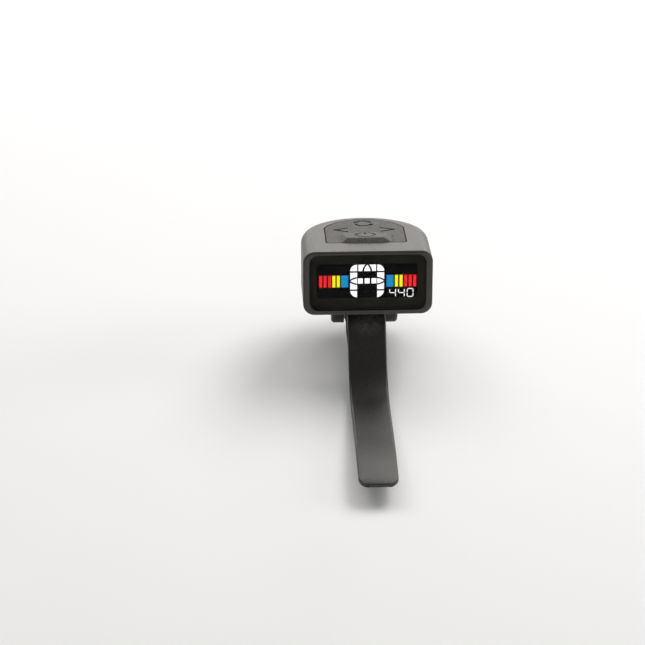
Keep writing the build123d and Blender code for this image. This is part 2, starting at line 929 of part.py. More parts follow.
# Each lead: where it starts on the disc, and where it turns up along the wall
leads = [(piezo_x, piezo_y, ceramic_high + lead_radius, -1.6)]
leads += [(-10.0, -4.0, ceramic_low + lead_radius, -4.6)]
with BuildPart() as piezo_leads:
    for x, y, z, wall_y in leads:
        with BuildLine() as route:
            turn = spot(lead_x, wall_y, z)
            foot = spot(lead_x, wall_y, board_low)
            FilletPolyline(spot(x, y, z), turn, foot, radius=lead_bend)
        with BuildSketch(Plane(origin=route.line @ 0, z_dir=route.line % 0)):
            Circle(lead_radius)
        sweep(path=route.line)
finish(piezo_leads, "piezo_leads")
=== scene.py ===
"""Looks, lights and camera of a clip-on instrument tuner, around its CAD part. Metres, in the CAD's frame."""

import json
from math import cos, pi, radians, sin, sqrt

import bmesh
import bpy
from mathutils import Matrix, Vector


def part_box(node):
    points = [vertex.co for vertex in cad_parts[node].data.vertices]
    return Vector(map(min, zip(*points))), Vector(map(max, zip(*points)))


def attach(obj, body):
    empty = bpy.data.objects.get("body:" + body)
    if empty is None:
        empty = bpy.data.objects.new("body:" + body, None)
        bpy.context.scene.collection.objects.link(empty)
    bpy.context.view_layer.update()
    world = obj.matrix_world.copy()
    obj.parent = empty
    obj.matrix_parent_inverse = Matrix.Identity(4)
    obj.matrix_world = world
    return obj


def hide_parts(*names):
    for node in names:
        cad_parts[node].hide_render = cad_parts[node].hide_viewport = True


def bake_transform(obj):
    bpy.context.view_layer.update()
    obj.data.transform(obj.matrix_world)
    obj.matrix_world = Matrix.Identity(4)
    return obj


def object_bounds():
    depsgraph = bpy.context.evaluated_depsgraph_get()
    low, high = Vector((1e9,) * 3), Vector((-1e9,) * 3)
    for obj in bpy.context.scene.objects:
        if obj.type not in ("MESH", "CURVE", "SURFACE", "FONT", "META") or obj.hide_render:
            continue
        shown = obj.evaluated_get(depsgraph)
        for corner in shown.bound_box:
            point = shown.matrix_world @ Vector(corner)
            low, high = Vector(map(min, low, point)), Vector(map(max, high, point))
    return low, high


MM = 0.001

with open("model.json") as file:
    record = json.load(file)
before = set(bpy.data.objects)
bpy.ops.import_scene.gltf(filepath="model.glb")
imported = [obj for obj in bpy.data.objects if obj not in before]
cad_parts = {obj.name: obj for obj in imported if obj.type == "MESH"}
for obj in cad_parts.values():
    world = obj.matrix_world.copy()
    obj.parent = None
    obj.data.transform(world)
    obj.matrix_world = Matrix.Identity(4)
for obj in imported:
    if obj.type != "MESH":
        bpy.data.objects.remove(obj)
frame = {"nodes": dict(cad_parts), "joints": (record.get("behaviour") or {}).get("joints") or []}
cad_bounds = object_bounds()
nodes = frame["nodes"]
joints = {joint["name"]: joint for joint in frame["joints"]}

right = Vector((1, 0, 0))
up = Vector(joints["swivel"]["axis"])
back = Vector(joints["tray_slide"]["axis"])
housing_origin = Vector(joints["swivel"]["pos_m"])
hinge = Vector(joints["tilt"]["pos_m"])
flex = Vector(joints["tongue_flex"]["pos_m"])


def housing_point(x, depth, height):
    """A point of the housing, in millimetres from the swivel: to the right, to the back and up."""
    return housing_origin + (right * x + back * depth + up * height) * MM


# ---- Materials ----
class Look:
    """A material, with short calls for the nodes that shade it."""

    def __init__(self, name, **sockets):
        self.material = bpy.data.materials.new(name)
        self.material.use_nodes = True
        self.tree = self.material.node_tree
        self.shader = self.tree.nodes["Principled BSDF"]
        self.place = self.add("ShaderNodeTexCoord").outputs["Object"]
        for socket, value in sockets.items():
            self.shader.inputs[socket.replace("_", " ")].default_value = value

    def add(self, kind, **settings):
        node = self.tree.nodes.new(kind)
        for name, value in settings.items():
            setattr(node, name, value)
        return node

    def join(self, output, node, socket):
        self.tree.links.new(output, node.inputs[socket])

    def stretched(self, along):
        """Coordinates that run slower along one or more axes, for drawn or brushed surfaces."""
        mapping = self.add("ShaderNodeMapping")
        mapping.inputs["Scale"].default_value = along
        self.join(self.place, mapping, "Vector")
        return mapping.outputs["Vector"]

    def noise(self, size, detail=2.0, place=None):
        """Random values from about 0.3 to 0.7, in cells of a size in millimetres."""
        node = self.add("ShaderNodeTexNoise")
        node.inputs["Scale"].default_value = 1 / (size * MM)
        node.inputs["Detail"].default_value = detail
        self.join(place or self.place, node, "Vector")
        return node.outputs["Fac"]

    def spread(self, value, low, high, start=0.3, end=0.7):
        """A value taken from one range to another, and held at its ends."""
        node = self.add("ShaderNodeMapRange")
        for socket, number in zip(("From Min", "From Max", "To Min", "To Max"), (start, end, low, high)):
            node.inputs[socket].default_value = number
        self.join(value, node, "Value")
        return node.outputs["Result"]

    def blend(self, share, first, second):
        """Two colours mixed by a share; each is a colour or an output."""
        node = self.add("ShaderNodeMix", data_type="RGBA")
        self.join(share, node, "Factor")
        for socket, colour in ((6, first), (7, second)):
            if isinstance(colour, bpy.types.NodeSocket):
                self.join(colour, node, socket)
            else:
                node.inputs[socket].default_value = (*colour, 1)
        return node.outputs[2]

    def height(self, value, depth):
        """A bump of a depth in millimetres."""
        node = self.add("ShaderNodeBump")
        node.inputs["Distance"].default_value = depth * MM
        self.join(value, node, "Height")
        return node.outputs["Normal"]

    def edges(self, radius):
        """1 on convex and concave edges, 0 on smooth faces."""
        bevel = self.add("ShaderNodeBevel", samples=6)
        bevel.inputs["Radius"].default_value = radius * MM
        geometry = self.add("ShaderNodeNewGeometry")
        turn = self.add("ShaderNodeVectorMath", operation="DOT_PRODUCT")
        self.join(bevel.outputs["Normal"], turn, 0)
        self.join(geometry.outputs["Normal"], turn, 1)
        return self.spread(turn.outputs["Value"], 1, 0, 0.8, 0.995)

    def crevices(self, reach):
        """1 in grooves and slits up to a reach, 0 on open faces."""
        occlusion = self.add("ShaderNodeAmbientOcclusion", samples=16, only_local=False)
        occlusion.inputs["Distance"].default_value = reach * MM
        return self.spread(occlusion.outputs["AO"], 1, 0, 0.45, 0.85)

    def near(self, point, inner, outer):
        """1 within one distance of a point, 0 past another; millimetres."""
        apart = self.add("ShaderNodeVectorMath", operation="DISTANCE")
        self.join(self.place, apart, 0)
        apart.inputs[1].default_value = Vector(point) * MM
        return self.spread(apart.outputs["Value"], 1, 0, inner * MM, outer * MM)

    def times(self, first, second):
        node = self.add("ShaderNodeMath", operation="MULTIPLY")
        self.join(first, node, 0)
        self.join(second, node, 1)
        return node.outputs["Value"]

    def colour(self, output):
        self.join(output, self.shader, "Base Color")

    def roughness(self, output):
        self.join(output, self.shader, "Roughness")

    def normal(self, output):
        self.join(output, self.shader, "Normal")


# Millimetres, apart from shares of edge wear and painted edge highlight
cloud_size = 4.0
smear_size = 0.6
pale_edge_radius = 0.25
pale_edge_size = 0.9
plain_wear = 0.35
light_wear = 0.1
strap_grain = 0.3
strap_grain_depth = 0.030
# Centre and reach of the painted highlight on the strap's crest, under the housing
painted_light_centre = (0, -1.0, 4.2)
painted_light_reach = (1.5, 4.6)


def tint(colour, factor):
    return tuple(channel * factor for channel in colour)


def clouded(look, colour, change):
    """A colour that drifts a little lighter and darker."""
    cloud = look.noise(cloud_size, 4)
    return look.blend(look.spread(cloud, 0, 1), tint(colour, 1 - change), tint(colour, 1 + change))


def worn_and_highlit(look, colour, under, wear_and_highlight):
    """A colour whose edges are painted paler: rubbed wear at small shares, a painted highlight at large ones.
    """
    paled_edges = look.times(look.edges(pale_edge_radius), look.spread(look.noise(pale_edge_size, 4), 0, wear_and_highlight))
    return look.blend(paled_edges, under, tint(colour, 3.0))


def moulded(name, colour, grain, depth, rough, wear_and_highlight=plain_wear, **sockets):
    """Spark-textured moulded plastic: fine grain, cloudy colour, and paler edges: rubbed wear at small
    shares, a painted highlight at large ones.
    """
    look = Look(name, **sockets)
    fine = look.noise(grain, 3)
    speckled = look.blend(look.spread(fine, 0, 0.5), clouded(look, colour, 0.03), tint(colour, 1.35))
    look.colour(worn_and_highlit(look, colour, speckled, wear_and_highlight))
    look.roughness(look.spread(look.noise(smear_size, 3), rough - 0.03, rough + 0.04))
    look.normal(look.height(fine, depth))
    return look.material


def strap_skin(name, colour):
    """The strap's satin plastic, with a painted highlight in pale blotches where it bends over the rod."""
    look = Look(name, Specular_IOR_Level=0.6)
    fine = look.noise(strap_grain, 4)
    speckles = look.spread(fine, 0, 0.8, 0.45, 0.65)
    speckled = look.blend(speckles, clouded(look, colour, 0.06), tint(colour, 2.4))
    patches = look.spread(look.noise(0.8, 5), 0.25, 0.9)
    # Pale blotches over the crest are a painted highlight, standing in for light under the housing
    blotches = look.times(look.near(painted_light_centre, *painted_light_reach), patches)
    look.colour(look.blend(blotches, worn_and_highlit(look, colour, speckled, plain_wear), tint(colour, 9.0)))
    look.roughness(look.spread(look.noise(smear_size, 3), 0.39, 0.46))
    look.normal(look.height(fine, strap_grain_depth))
    return look.material


def rubber(name, colour, grain, depth, rough=0.72):
    """Matt elastomer with a grained skin, a little sheen, and painted shade in its grooves and slits."""
    look = Look(name, Sheen_Weight=0.06, Sheen_Roughness=0.6, Specular_IOR_Level=0.35)
    fine = look.noise(grain, 4)
    blotches = look.noise(2.2, 5)
    body = look.blend(look.spread(blotches, 0, 1), tint(colour, 0.8), tint(colour, 1.2))
    speckled = look.blend(look.spread(fine, 0, 0.9, 0.42, 0.68), body, tint(colour, 2.7))
    # Painted shade: grooves, slits and recesses darkened from ambient occlusion
    look.colour(look.blend(look.crevices(0.5), speckled, tint(colour, 0.12)))
    look.roughness(look.spread(blotches, rough - 0.07, rough + 0.07))
    look.normal(look.height(fine, depth))
    return look.material


def metal(name, colour, rough, grain=(1, 1, 1)):
    """Plated or rolled metal: fine lines along the grain, and faint handling stains."""
    look = Look(name, Metallic=1.0)
    lines = look.noise(0.12, 4, look.stretched(grain))
    stains = look.noise(1.8, 5)
    body = look.blend(look.spread(lines, 0, 1), tint(colour, 0.9), colour)
    look.colour(look.blend(look.spread(stains, 0, 0.25), body, tint(colour, 0.6)))
    look.roughness(look.spread(lines, rough - 0.08, rough + 0.12))
    look.normal(look.height(lines, 0.004))
    return look.material


def smoked_glass(name):
    """Polished clear acrylic with the faintest haze of fine marks."""
    look = Look(name, Transmission_Weight=1.0, IOR=1.14)
    haze = look.spread(look.noise(3, 2), 0, 1)
    look.colour(look.blend(haze, (0.86, 0.86, 0.87), (0.94, 0.94, 0.94)))
    look.roughness(look.spread(look.noise(0.5, 6), 0.015, 0.06))
    return look.material


def dark_film(name, colour, rough, gloss=0.08):
    """Black printed or polarised film, faintly mottled."""
    look = Look(name, Specular_IOR_Level=gloss)
    mottle = look.noise(0.7, 4)
    look.colour(look.blend(look.spread(mottle, 0, 1), tint(colour, 0.8), tint(colour, 1.2)))
    look.roughness(look.spread(mottle, rough - 0.05, rough + 0.05))
    look.normal(look.height(look.noise(0.15), 0.001))
    return look.material


dot_pitch = 0.16


def lit_cell(name, colour, strength):
    """A backlit display colour under the fine dot grid of the screen."""
    look = Look(name, Roughness=0.6, Specular_IOR_Level=0.1)
    dots = look.add("ShaderNodeTexVoronoi", feature="F1", distance="CHEBYCHEV")
    dots.inputs["Scale"].default_value = 1 / (dot_pitch * MM)
    dots.inputs["Randomness"].default_value = 0
    look.join(look.place, dots, "Vector")
    grid = look.spread(dots.outputs["Distance"], 0, 0.22, 0.40, 0.5)
    glow = look.blend(grid, colour, tint(colour, 0.7))
    uneven = look.blend(look.spread(look.noise(1.5, 2), 0, 0.5), glow, tint(colour, 0.94))
    look.colour(look.blend(grid, tint(colour, 0.3), tint(colour, 0.2)))
    look.join(uneven, look.shader, "Emission Color")
    look.shader.inputs["Emission Strength"].default_value = strength
    return look.material


track_pitch = 1.7


def circuit(name):
    """Green solder mask with tracks that show through it."""
    look = Look(name, Roughness=0.35, Coat_Weight=0.4)
    tracks = look.add("ShaderNodeTexVoronoi", feature="DISTANCE_TO_EDGE", distance="MANHATTAN")
    tracks.inputs["Scale"].default_value = 1 / (track_pitch * MM)
    look.join(look.place, tracks, "Vector")
    track = look.spread(tracks.outputs["Distance"], 1, 0, 0.05, 0.08)
    shade = look.spread(look.noise(3, 3), 0, 1)
    mask = look.blend(shade, (0.014, 0.10, 0.035), (0.02, 0.14, 0.05))
    look.colour(look.blend(track, mask, (0.05, 0.24, 0.09)))
    look.normal(look.height(track, 0.03))
    return look.material


looks = {
    "strap": strap_skin("strap", (0.0145, 0.0135, 0.0125)),
    "liner": rubber("liner", (0.03, 0.03, 0.03), 0.25, 0.03),
    "yoke_plastic": moulded("yoke_plastic", (0.030, 0.028, 0.027), 0.16, 0.012, 0.45),
    "pin_steel": metal("pin_steel", (0.60, 0.59, 0.57), 0.28, (1, 12, 12)),
    "washer_nylon": moulded("washer_nylon", (0.62, 0.60, 0.54), 0.3, 0.01, 0.5, light_wear),
    "housing": moulded("housing", (0.060, 0.056, 0.051), 0.13, 0.010, 0.46, Specular_IOR_Level=0.6),
    # The bezel's edges are painted much paler: a painted highlight along its rims and the window's edge
    "bezel": moulded("bezel", (0.055, 0.050, 0.046), 0.13, 0.006, 0.40, 0.9),
    "window": smoked_glass("window"),
    "lcd": dark_film("lcd", (0.0035, 0.003, 0.0035), 0.6, 0.02),
    "light_guide": moulded("light_guide", (0.72, 0.72, 0.68), 0.4, 0.01, 0.5, light_wear),
    "frame_plastic": moulded("frame_plastic", (0.62, 0.61, 0.57), 0.3, 0.01, 0.5, light_wear),
    "flex": moulded("flex", (0.50, 0.22, 0.05), 0.5, 0.004, 0.35, light_wear),
    "board": circuit("board"),
    "chips": moulded("chips", (0.02, 0.02, 0.021), 0.1, 0.006, 0.5),
    "domes": metal("domes", (0.62, 0.61, 0.58), 0.3),
    "keypad": rubber("keypad", (0.042, 0.040, 0.037), 0.30, 0.030, 0.62),
    "contact_metal": metal("contact_metal", (0.66, 0.62, 0.54), 0.25, (1, 8, 8)),
    "piezo_brass": metal("piezo_brass", (0.72, 0.50, 0.20), 0.3, (6, 1, 6)),
    "ceramic": moulded("ceramic", (0.66, 0.65, 0.60), 0.15, 0.01, 0.5, light_wear),
    "leads": moulded("leads", (0.42, 0.03, 0.025), 0.3, 0.01, 0.4, light_wear),
    "cell_steel": metal("cell_steel", (0.66, 0.65, 0.62), 0.26, (8, 8, 1)),
}

node_looks = {
    "clip_body": "strap",
    "spring_tongue": "strap",
    "grip_liner": "liner",
    "swivel_yoke": "yoke_plastic",
    "hinge_pin": "pin_steel",
    "friction_washers": "washer_nylon",
    "swivel_washer": "pin_steel",
    "swivel_screw": "pin_steel",
    "rear_shell": "housing",
    "front_bezel": "bezel",
    "display_lens": "window",
    "lcd_panel": "lcd",
    "backlight": "light_guide",
    "display_frame": "frame_plastic",
    "display_ribbon": "flex",
    "main_board": "board",
    "board_chips": "chips",
    "board_screws": "pin_steel",
    "key_domes": "domes",
    "keypad_web": "keypad",
    "contact_positive": "contact_metal",
    "contact_negative": "contact_metal",
    "tray_strip": "contact_metal",
    "piezo_disc": "piezo_brass",
    "piezo_ceramic": "ceramic",
    "piezo_leads": "leads",
    "battery_tray": "housing",
    "cell_can": "cell_steel",
    "cell_cap": "cell_steel",
    "power_key": "keypad",
    "flip_key": "keypad",
    "down_key": "keypad",
    "up_key": "keypad",
}


def paint_cad():
    """Its own look for each CAD node."""
    for name, look in node_looks.items():
        mesh = nodes[name].data
        if not mesh.materials:
            mesh.materials.append(None)
        for index in range(len(mesh.materials)):
            mesh.materials[index] = looks[look]


# ---- Mesh helpers ----
def add_piece(name, mesh_builder, material):
    """A new object from a filled bmesh, with its material slot."""
    mesh = bpy.data.meshes.new(name)
    bmesh.ops.recalc_face_normals(mesh_builder, faces=mesh_builder.faces)
    mesh_builder.to_mesh(mesh)
    mesh_builder.free()
    mesh.materials.append(material)
    piece = bpy.data.objects.new(name, mesh)
    bpy.context.scene.collection.objects.link(piece)
    return piece


def smooth(piece, angle):
    """Smooth shading that keeps edges sharper than an angle, in degrees."""
    bpy.ops.object.select_all(action="DESELECT")
    piece.select_set(True)
    bpy.context.view_layer.objects.active = piece
    bpy.ops.object.shade_smooth_by_angle(angle=radians(angle))


def wall(builder, first, second):
    """Faces between two closed rings of vertices."""
    for index in range(len(first)):
        after = (index + 1) % len(first)
        builder.faces.new((first[index], first[after], second[after], second[index]))


def ray(angle, radius):
    """A point at an angle, in degrees, and a distance from the origin."""
    return Vector((cos(radians(angle)), sin(radians(angle)))) * radius


def arc(centre, radius, start, end, steps):
    """Points of an arc, in degrees, both ends included."""
    angles = [start + (end - start) * step / steps for step in range(steps + 1)]
    return [Vector(centre) + ray(angle, radius) for angle in angles]


def rounded(before, corner, after, steps=8):
    """A smooth curve that leaves one line for another where they meet at a corner."""
    curve = []
    for step in range(steps + 1):
        share = step / steps
        curve.append(before * (1 - share) ** 2 + corner * 2 * share * (1 - share) + after * share**2)
    return curve


# ---- Strap ----
hook_inner = 2.6
hook_outer = 4.3
hook_start = -40
hook_end = 200
strap_half = 4.4
strap_thickness = 2.0
strap_edge = 0.5
tip_edge = 0.3
edge_taper = 12
edge_steps = 5
smooth_angle = 40
nose_steps = 10
nose_top = 0.6
nose_low = 0.3
crest_angle = 132
slope_length = 7.3
belly_radius = 15.0
belly_turn = 50
run_length = 15.75
tail_radius = 56.0
tail_turn = 15.4
tail_under_radius = 125.0
tail_under_turn = 6.65
tip_half = 4.3
tip_corner = 2.4
tongue_steps = (12, 30, 24, 60)
knuckle_radius = 2.6
web_top = 2.2
web_bottom = -1.5

# Where the curves of the hook, web and knuckle meet, seen from the side: degrees about the rod or the
# knuckle, and places along the web
lip_outer = 0.6
lip_inner = 0.45
lip_outer_turn = 8
lip_inner_turn = 10
lip_inner_clear = 14
low_hook_end = -27
low_hook_leave = -26
web_low_corners = (4.05, 5.88)
web_low_flat = (4.9, 5.3)
knuckle_low = (222, 228)
knuckle_high = (452, 456)
web_high_corners = (7.13, 3.7)
web_high_flat = (6.4, 5.2)
high_hook_meet = 45
high_hook_start = 48
under_corner = 189.7
under_meet = 195
under_leave = 196
tongue_clear = 0.5


def tongue_side(offset, end_radius, end_turn):
    """One side of the tongue from the crest to the tip, at a distance under its top before the tail thins."""
    slope_steps, belly_steps, run_steps, tail_steps = tongue_steps
    heading = crest_angle + 90
    point = ray(crest_angle, hook_outer - offset)
    side = [point + ray(heading, slope_length * step / slope_steps) for step in range(slope_steps + 1)]
    centre = side[-1] + ray(heading - 90, belly_radius + offset)
    side += arc(centre, belly_radius + offset, heading + 90, heading + 90 - belly_turn, belly_steps)[1:]
    heading -= belly_turn
    point = side[-1]
    side += [point + ray(heading, run_length * step / run_steps) for step in range(1, run_steps + 1)]
    centre = side[-1] + ray(heading + 90, end_radius)
    side += arc(centre, end_radius, heading - 90, heading - 90 + end_turn, tail_steps)[1:]
    return side


def strap_outline():
    """Side view of the whole strap, counter-clockwise, with the tongue's first point and points a side."""
    top = tongue_side(0, tail_radius, tail_turn)
    low = tongue_side(strap_thickness, tail_under_radius, tail_under_turn)
    nose = top[-1].lerp(low[-1], nose_top)
    chin = low[-1].lerp(nose, nose_low)
    top = top[:-2] + rounded(top[-3], top[-1], nose, nose_steps)[1:]
    low = low[:-2] + rounded(low[-3], low[-1], chin, nose_steps)[1:]
    knuckle = Vector((hinge.y / MM, hinge.z / MM))
    outline = rounded(
        ray(hook_start, hook_inner + lip_outer),
        ray(hook_start, hook_outer),
        ray(hook_start + lip_outer_turn, hook_outer),
    )
    outline += arc((0, 0), hook_outer, hook_start + lip_inner_turn, low_hook_end, 4)
    outline += rounded(
        ray(low_hook_leave, hook_outer),
        Vector((web_low_corners[0], web_bottom)),
        Vector((web_low_flat[0], web_bottom)),
    )
    outline += rounded(
        Vector((web_low_flat[1], web_bottom)),
        Vector((web_low_corners[1], web_bottom)),
        knuckle + ray(knuckle_low[0], knuckle_radius),
    )
    outline += arc(knuckle, knuckle_radius, knuckle_low[1], knuckle_high[0], 44)
    outline += rounded(
        knuckle + ray(knuckle_high[1], knuckle_radius),
        Vector((web_high_corners[0], web_top)),
        Vector((web_high_flat[0], web_top)),
    )
    outline += rounded(
        Vector((web_high_flat[1], web_top)),
        Vector((web_high_corners[1], web_top)),
        ray(high_hook_meet, hook_outer),
    )
    outline += arc((0, 0), hook_outer, high_hook_start, crest_angle, 24)[:-1]
    start = next(i for i, point in enumerate(low) if point.length > hook_outer + tongue_clear)
    tongue_start = len(outline) + start
    outline += top
    outline += reversed(low[start:])
    outline += rounded(
        low[start - 1].lerp(low[start], 0.5),
        ray(under_corner, hook_outer),
        ray(under_meet, hook_outer),
    )
    outline += rounded(
        ray(under_leave, hook_outer),
        ray(hook_end, hook_outer),
        ray(hook_end, hook_outer - lip_outer),
    )
    outline += rounded(
        ray(hook_end, hook_inner + lip_inner),
        ray(hook_end, hook_inner),
        ray(hook_end - lip_inner_turn, hook_inner),
    )
    outline += arc((0, 0), hook_inner, hook_end - lip_inner_clear, hook_start + lip_inner_clear, 60)
    outline += rounded(
        ray(hook_start + lip_inner_turn, hook_inner),
        ray(hook_start, hook_inner),
        ray(hook_start, hook_inner + lip_inner),
    )
    return outline, tongue_start, len(low) - start


tip_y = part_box("spring_tongue")[0].y / MM
flex_y = flex.y / MM


def strap_half_width(y):
    """Half the strap's width: even to the flex line, then tapering, and rounded off at the tip."""
    if y > flex_y:
        return strap_half
    half = tip_half + (strap_half - tip_half) * (y - tip_y) / (flex_y - tip_y)
    from_tip = max(y - tip_y, 0)
    if from_tip < tip_corner:
        half -= tip_corner - sqrt(tip_corner**2 - (tip_corner - from_tip) ** 2)
    return half


def edge_rounding(y):
    """The radius of the strap's side edges, which shrinks where the tail thins."""
    from_tip = max(y - tip_y, 0)
    return min(strap_edge, tip_edge + (strap_edge - tip_edge) * from_tip / edge_taper)


def build_strap():
    """One moulded strap, hook to tip: rings of its side view, drawn in towards both rounded edges."""
    outline, tongue_start, tongue_points = strap_outline()
    count = len(outline)
    normals = []
    for index, point in enumerate(outline):
        come = (point - outline[index - 1]).normalized()
        leave = (outline[(index + 1) % count] - point).normalized()
        tangent = come + leave
        normals.append(Vector((tangent.y, -tangent.x)).normalized())
    levels = []
    for side in (-1, 1):
        turns = [pi / 2 * step / edge_steps for step in range(edge_steps + 1)]
        for turn in reversed(turns) if side < 0 else turns:
            levels.append((side, 1 - sin(turn), 1 - cos(turn)))
    builder = bmesh.new()
    rings = []
    for side, short, inset in levels:
        ring = []
        for point, normal in zip(outline, normals):
            edge = edge_rounding(point.x)
            place = point - normal * edge * inset
            x = side * (strap_half_width(point.x) - edge * short)
            ring.append(builder.verts.new(Vector((x, place.x, place.y)) * MM))
        rings.append(ring)
    for first, second in zip(rings, rings[1:]):
        wall(builder, first, second)
    last = tongue_start + 2 * tongue_points - 1
    for ring in (rings[0], rings[-1]):
        builder.faces.new(ring[:tongue_start + 1] + ring[last:])
        for step in range(tongue_points - 1):
            builder.faces.new((
                ring[tongue_start + step],
                ring[tongue_start + step + 1],
                ring[last - step - 1],
                ring[last - step],
            ))
    strap = add_piece("strap", builder, looks["strap"])
    smooth(strap, smooth_angle)
    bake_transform(strap)
    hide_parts("clip_body", "spring_tongue")


# ---- Display ----
screen_drop = 0.42
screen_aside = 0.1
film = 0.02
mask_front = -12.88
mask_margin = 0.1
mask_low, mask_high, mask_corner = 1.05, 14.15, 2.0
opening = (-11.5, 11.2, 3.65, 11.85)
opening_corner = 0.6
lcd_front = -12.75
cell_gap = 0.03
cell_front = lcd_front - cell_gap


def plates(name, outlines, material):
    """Thin lit or printed plates on the screen. Outlines are to the right and up, in millimetres."""
    builder = bmesh.new()
    for outline in outlines:
        places = [(x + screen_aside, z - screen_drop) for x, z in outline]
        near = [builder.verts.new(housing_point(x, cell_front, z)) for x, z in places]
        far = [builder.verts.new(housing_point(x, cell_front + film, z)) for x, z in places]
        builder.faces.new(near)
        builder.faces.new(list(reversed(far)))
        wall(builder, near, far)
    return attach(add_piece(name, builder, material), "head")


def box_outline(left, right_side, low, high):
    return [(left, low), (right_side, low), (right_side, high), (left, high)]


def bow(first, second, bulge, steps=8):
    """Points from one to another along a shallow curve, which bulges to the left of the way."""
    first, second = Vector(first), Vector(second)
    side = Vector((first.y - second.y, second.x - first.x)).normalized()
    points = []
    for step in range(steps + 1):
        share = step / steps
        points.append(first.lerp(second, share) + side * bulge * 4 * share * (1 - share))
    return [tuple(point) for point in points]


def rounded_box(left, right_side, low, high, radius):
    corners = [(right_side, high, 0), (left, high, 90), (left, low, 180), (right_side, low, 270)]
    outline = []
    for x, z, start in corners:
        centre = (x - radius if x == right_side else x + radius, z - radius if z == high else z + radius)
        outline += [tuple(point) for point in arc(centre, radius, start, start + 90, 8)]
    return outline


def build_mask():
    """The black print behind the window, around the screen's opening."""
    low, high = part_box("display_lens")
    half = (high.x - low.x) / 2 / MM - mask_margin
    outer = rounded_box(-half, half, mask_low, mask_high, mask_corner)
    inner = rounded_box(*opening, opening_corner)
    builder = bmesh.new()
    loops = []
    for outline in (outer, inner):
        for depth in (mask_front, mask_front + film):
            loops.append([builder.verts.new(housing_point(x, depth, z)) for x, z in outline])
    outer_near, outer_far, inner_near, inner_far = loops
    loops = (outer_near, inner_near, inner_far, outer_far, outer_near)
    for first, second in zip(loops, loops[1:]):
        wall(builder, first, second)
    print_black = dark_film("mask_print", (0.030, 0.026, 0.021), 0.5)
    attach(add_piece("window_mask", builder, print_black), "head")


# Places on the screen, in millimetres to the right and up
bar_low = 6.66
bar_high = 9.47
bar_width = 0.69
wide_bar = 1.57
letter_left = -4.04
letter_stem = 1.55
letter_low = 4.17
letter_high = 12.03
letter_middle = -0.22
letter_round = 1.45
top_row = 10.49
second_row = 10.13
cross = 8.13
third_row = 6.11
bottom_row = 5.75
square_width = 1.12
square_half = 0.62
square_lefts = (-2.32, -0.78, 0.76)
shoulder_rise = 0.35
shoulder_bulge = 0.32
outer_gap = 0.38
inner_gap = 0.94
side_bulge = 0.13
point_inset = 0.06
point_bulge = 0.1
foot_drop = 0.1
foot_bulge = 0.36
arch = 0.72
arch_drop = 0.05
arch_bulge = 0.14
roof_left = -2.21
roof_gap = 0.44
foot_gap = 0.4
ghost_rows = ((8.95, 10.1), (6.1, 7.3), (letter_low, 5.8))
digits = ((4.9, "bcfg"), (6.88, "bcfg"), (8.86, "abcdef"))
digit_width = 1.32
digit_levels = (4.25, 5.2, 6.15)
stroke_width = 0.2
stroke_gap = 0.6


def mirrored(cell):
    """A cell of the note letter on the other side of its middle."""
    return [(2 * letter_middle - x, z) for x, z in reversed(cell)]


def letter_cells():
    """Cells of the note letter: two stems, the top bar with a pointed arch, and the crossbar."""
    outer, inner = letter_left, letter_left + letter_stem
    shoulder = bow((outer + letter_round, letter_high), (outer, top_row + shoulder_rise), -shoulder_bulge)
    upper_side = bow((outer, cross + outer_gap), (inner, cross + inner_gap), side_bulge)
    point = (outer + point_inset, cross)
    point_high = bow((inner, cross + square_half), point, -point_bulge)
    point_low = bow(point, (inner, cross - square_half), -point_bulge)
    lower_side = bow((inner, cross - inner_gap), (outer, cross - outer_gap), side_bulge)
    foot = bow((outer, bottom_row - foot_drop), (inner, letter_low), -foot_bulge)
    stem = [
        [(inner, letter_high), *shoulder, (outer, top_row), (inner, top_row)],
        [(outer, second_row), *upper_side, (inner, second_row)],
        [*point_high, *point_low[1:]],
        [(inner, third_row), *lower_side, (outer, third_row)],
        [(inner, bottom_row), (outer, bottom_row), *foot[1:]],
    ]
    arch_foot = letter_middle - arch
    arch_top = (letter_middle, letter_high - arch_drop)
    roof_side = bow((letter_middle - roof_gap, letter_high), (arch_foot - foot_gap, top_row), -arch_bulge)
    arch_left = bow((arch_foot, top_row), arch_top, arch_bulge)
    arch_right = bow(arch_top, (letter_middle + arch, top_row), arch_bulge)
    roof = [
        [(roof_left, top_row), (roof_left, letter_high), *roof_side],
        [*arch_left, *arch_right[1:]],
    ]
    roof.append(mirrored(roof[0]))
    low, high = cross - square_half, cross + square_half
    squares = [box_outline(left, left + square_width, low, high) for left in square_lefts]
    return stem + [mirrored(cell) for cell in stem] + roof + squares


def stroke(start, end):
    """A display segment: a straight bar with pointed ends."""
    start, end = Vector(start), Vector(end)
    along = (end - start).normalized() * (stroke_width / 2)
    start, end = start + along * stroke_gap, end - along * stroke_gap
    across = Vector((-along.y, along.x))
    near_side = [start + along - across, end - along - across]
    far_side = [end - along + across, start + along + across]
    return [tuple(point) for point in (start, *near_side, end, *far_side)]


def digit_cells(left, lit):
    """The lit strokes of a seven-segment digit: a to f clockwise from the top, and g across the middle."""
    low, middle, high = digit_levels
    right_side = left + digit_width
    ends = {
        "a": ((left, high), (right_side, high)),
        "b": ((right_side, middle), (right_side, high)),
        "c": ((right_side, low), (right_side, middle)),
        "d": ((left, low), (right_side, low)),
        "e": ((left, low), (left, middle)),
        "f": ((left, middle), (left, high)),
        "g": ((left, middle), (right_side, middle)),
    }
    return [stroke(*ends[name]) for name in lit]


bars = {
    "red": ((0.89, 0.018, 0.022), bar_width, (-11.05, -10.06, -9.03, 8.15, 9.15, 10.18)),
    "yellow": ((1.0, 0.88, 0.0), bar_width, (-8.08, -7.07, 6.06, 7.10)),
    "blue": ((0.007, 0.25, 0.58), wide_bar, (-6.08, 4.16)),
}


